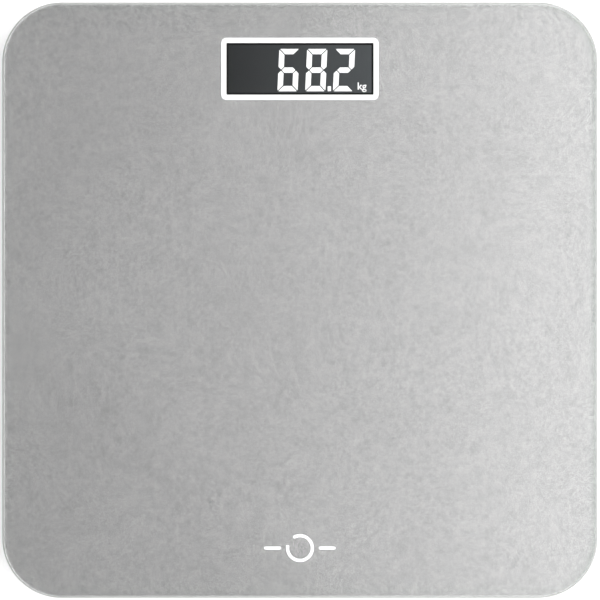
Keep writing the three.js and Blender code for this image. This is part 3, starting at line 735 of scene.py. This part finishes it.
BARREL_INSET = 0.0025  # barrel, narrower than the flange that keeps the foot in its bore
FLANGE_BOTTOM = 0.0051
FLANGE_TOP = 0.0065
WALL = 0.002
WEB_TOP = 0.0038
POST_FOOT = 0.0045
POST_TOP = 0.0040
PAD_CLEARANCE = 0.0002
GROOVE = 0.0006
foot_grey = moulded_plastic("foot_plastic", (0.24, 0.25, 0.26), (0.33, 0.34, 0.35), 0.0005)
pad_black = anti_slip_rubber()
for corner in CORNERS:
    low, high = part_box(f"foot_{corner}")
    pad_low, pad_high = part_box(f"foot_pad_{corner}")
    x, y = (low.x + high.x) / 2, (low.y + high.y) / 2
    flange = (high.x - low.x) / 2
    barrel = flange - BARREL_INSET
    pad_radius = (pad_high.x - pad_low.x) / 2
    recess = pad_radius + PAD_CLEARANCE
    plug = turned(f"foot_plug_{corner}", rounded_profile([
        (0.0006, pad_high.z), (recess, pad_high.z),
        (recess, low.z), (barrel - 0.0005, low.z), (barrel, low.z + 0.0006),
        (barrel, FLANGE_BOTTOM), (flange, FLANGE_BOTTOM), (flange, FLANGE_TOP),
        (barrel - WALL, FLANGE_TOP), (barrel - WALL, WEB_TOP),
        (POST_FOOT, WEB_TOP), (POST_TOP, high.z - 0.001),
        (0.0026, high.z - 0.0002), (0.0004, high.z)], 0.0003), x, y)
    wear(plug, foot_grey)
    fit(plug, f"foot_unit_{corner}", "foot_plastic", f"foot_{corner}")
    pad = turned(f"foot_tread_{corner}", rounded_profile([
        (0.0004, pad_low.z + 0.0003), (0.0022, pad_low.z + 0.0003), (0.0026, pad_low.z),
        (0.0048, pad_low.z), (0.0052, GROOVE), (0.0060, GROOVE), (0.0064, pad_low.z),
        (0.0084, pad_low.z), (0.0088, GROOVE), (0.0096, GROOVE), (0.0100, pad_low.z),
        (pad_radius - 0.0006, pad_low.z), (pad_radius, GROOVE), (pad_radius, pad_high.z),
        (0.0004, pad_high.z)], 0.00018), x, y)
    wear(pad, pad_black)
    fit(pad, f"foot_unit_{corner}", "pad_rubber", f"foot_pad_{corner}")


# ---------------------------------------------------------------------------
# Load cells. A blanked spring-steel plate in each corner with a tongue that
# the foot bends, gauges under white silicone, screwed to posts in the tray.
# ---------------------------------------------------------------------------

cell_steel = plain("blanked_steel", (0.42, 0.43, 0.44), (0.60, 0.61, 0.62), 0.0006, 0.36,
                   0.00001, metallic=1.0, stretch=(0.15, 1, 1))
screw_steel = plain("zinc_plate", (0.50, 0.51, 0.53), (0.66, 0.67, 0.69), 0.0004, 0.34,
                    0.00001, metallic=1.0)
gauge_white = plain("gauge_silicone", (0.80, 0.79, 0.74), (0.90, 0.89, 0.85), 0.0008, 0.45, 0.00005)
lead_sleeve = plain("lead_sleeve", (0.42, 0.05, 0.04), (0.60, 0.10, 0.08), 0.0006, 0.45, 0.00002)
for corner in CORNERS:
    coat(cell_steel, f"load_cell_{corner}")
    coat(gauge_white, f"gauge_coating_{corner}")
    coat(lead_sleeve, f"gauge_lead_{corner}")
    coat(screw_steel, f"cell_screw_{corner}_1", f"cell_screw_{corner}_2")


# ---------------------------------------------------------------------------
# Board. Green laminate under the display with the controller beneath a black
# epoxy dome, the unit switch on its underside and four screws to the tray.
# ---------------------------------------------------------------------------

def solder_mask():
    finish = Finish("solder_mask")
    tracks = finish.node("ShaderNodeTexBrick", {"offset": 0.35}, {
        "Vector": finish.place, "Scale": 260.0, "Mortar Size": 0.035, "Mortar Smooth": 0.2,
        "Brick Width": 1.9, "Row Height": 0.42}, "Fac")
    weave = finish.noise(0.0007, 2.0, 0.5, (1, 1, 1))
    return finish.done(finish.principled({
        "Base Color": finish.tint(tracks * 0.8 + weave * 0.2, (0.010, 0.085, 0.040),
                                  (0.045, 0.24, 0.11)),
        "Roughness": 0.32 + (weave - 0.5) * 0.1,
        "Normal": finish.bump(tracks, 0.00003)}))


coat(solder_mask(), "main_board")
coat(plain("epoxy_dome", (0.010, 0.010, 0.010), (0.022, 0.022, 0.023), 0.003, 0.22, 0.00005),
     "controller_blob")
coat(screw_steel, *[f"board_screw_{i}" for i in range(1, 5)])
coat(plain("switch_case", (0.02, 0.02, 0.022), (0.04, 0.04, 0.042), 0.0004, 0.5, 0.00002),
     "unit_switch_body")
coat(plain("switch_plunger", (0.42, 0.28, 0.06), (0.58, 0.42, 0.12), 0.0005, 0.45, 0.00002),
     "unit_switch_plunger")


# ---------------------------------------------------------------------------
# Unit button. A turned-looking moulded cap with a dished face, kept in by its
# flange, standing in a dish on the tray's underside.
# ---------------------------------------------------------------------------

KEY_FLANGE_BOTTOM = 0.00505
KEY_FLANGE_TOP = 0.00585
KEY_STEM = 0.002
low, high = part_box("unit_button")
x, y = (low.x + high.x) / 2, (low.y + high.y) / 2
flange = (high.x - low.x) / 2
cap_radius = flange - 0.0015
button = turned("unit_button_cap", rounded_profile([
    (0.0003, low.z + 0.0004), (cap_radius - 0.0022, low.z + 0.00025),
    (cap_radius - 0.0008, low.z), (cap_radius, low.z + 0.0005), (cap_radius, KEY_FLANGE_BOTTOM),
    (flange, KEY_FLANGE_BOTTOM), (flange, KEY_FLANGE_TOP), (KEY_STEM, KEY_FLANGE_TOP),
    (KEY_STEM, high.z), (0.0003, high.z)], 0.00025), x, y, 56)
wear(button, moulded_plastic("button_plastic", (0.13, 0.135, 0.14), (0.19, 0.195, 0.2), 0.0003))
fit(button, "unit_key", "button_plastic", "unit_button")


# ---------------------------------------------------------------------------
# Battery. A coin cell between two sprung contacts in the tray's well, wired
# to the board, behind a hatch that swings on two pins and snaps shut.
# ---------------------------------------------------------------------------

hatch = remade("battery_hatch", "battery_door")
wear(hatch, moulded_plastic("hatch_plastic", (0.30, 0.31, 0.32), (0.40, 0.41, 0.42)))
smooth(hatch, 32)
fit(hatch, "hatch", "tray_plastic", "battery_door")

coat(plain("nickel_can", (0.55, 0.55, 0.56), (0.70, 0.70, 0.71), 0.0005, 0.28, 0.00001,
           metallic=1.0), "coin_cell")
coat(plain("spring_strip", (0.58, 0.58, 0.60), (0.74, 0.74, 0.76), 0.0004, 0.3, 0.00001,
           metallic=1.0, stretch=(1, 0.2, 1)), "contact_negative", "contact_positive")
coat(plain("black_sleeve", (0.010, 0.010, 0.011), (0.03, 0.03, 0.032), 0.0006, 0.42, 0.00002),
     "wire_negative")
coat(plain("red_sleeve", (0.38, 0.02, 0.02), (0.56, 0.05, 0.05), 0.0006, 0.42, 0.00002),
     "wire_positive")


# ---------------------------------------------------------------------------
# Studio. A white floor, soft boxes round the plate with the brightest to its
# right, and a long lens looking straight down.
# ---------------------------------------------------------------------------

deselect()
bpy.ops.mesh.primitive_circle_add(vertices=128, radius=12, fill_type="NGON", location=(0, 0, 0))
floor = settle("studio_floor")
finish = Finish("studio_white")
sweep = finish.noise(0.5, 2.0)
wear(floor, finish.done(finish.principled({
    "Base Color": finish.tint(sweep, (0.42, 0.42, 0.42), (0.46, 0.46, 0.46)),
    "Roughness": 0.8, "Emission Color": (1, 1, 1, 1), "Emission Strength": 0.6})))


def soft_box(name, place, aim, size, power):
    lamp = bpy.data.lights.new(name, "AREA")
    lamp.shape = "RECTANGLE"
    lamp.size, lamp.size_y = size
    lamp.energy = power
    ob = bpy.data.objects.new(name, lamp)
    bpy.context.scene.collection.objects.link(ob)
    ob.location = place
    ob.rotation_euler = (Vector(aim) - Vector(place)).to_track_quat("-Z", "Y").to_euler()
    return ob


right_box = soft_box("right_box", (0.66, 0, 1.20), (0.10, 0, 0.02), (4.0, 0.5), 80.0)
right_box.visible_transmission = False
LOW_BOX_HEIGHT = 0.38
LOW_BOX_AWAY = 1.2
for name, across, along in (("left_box", -1, 0), ("right_low_box", 1, 0),
                            ("back_box", 0, 1), ("front_box", 0, -1)):
    low_box = soft_box(name, (across * LOW_BOX_AWAY, along * LOW_BOX_AWAY, LOW_BOX_HEIGHT),
                       (0, 0, 0), (1.8, 0.45), 5.0)
    low_box.visible_glossy = False

world = bpy.data.worlds.new("studio_air")
bpy.context.scene.world = world
world.use_nodes = True
air = world.node_tree
air.nodes.clear()
shown = air.nodes.new("ShaderNodeBackground")
shown.inputs["Color"].default_value = (1, 1, 1, 1)
shown.inputs["Strength"].default_value = 1.0
felt = air.nodes.new("ShaderNodeBackground")
felt.inputs["Color"].default_value = (1, 1, 1, 1)
felt.inputs["Strength"].default_value = 0.07
seen = air.nodes.new("ShaderNodeLightPath")
mixed = air.nodes.new("ShaderNodeMixShader")
out = air.nodes.new("ShaderNodeOutputWorld")
air.links.new(seen.outputs["Is Camera Ray"], mixed.inputs[0])
air.links.new(felt.outputs[0], mixed.inputs[1])
air.links.new(shown.outputs[0], mixed.inputs[2])
air.links.new(mixed.outputs[0], out.inputs["Surface"])

VIEW_WIDTH = 0.3022
LENS = 300
SENSOR = 36
VIEW_RAISE = 0.00012
camera_data = bpy.data.cameras.new("camera")
camera_data.lens = LENS
camera_data.sensor_width = SENSOR
camera_data.clip_end = 50
camera = bpy.data.objects.new("camera", camera_data)
bpy.context.scene.collection.objects.link(camera)
camera.location = (0, VIEW_RAISE, glass_high.z + VIEW_WIDTH * LENS / SENSOR)
bpy.context.scene.camera = camera
bpy.context.scene.view_settings.view_transform = "Standard"
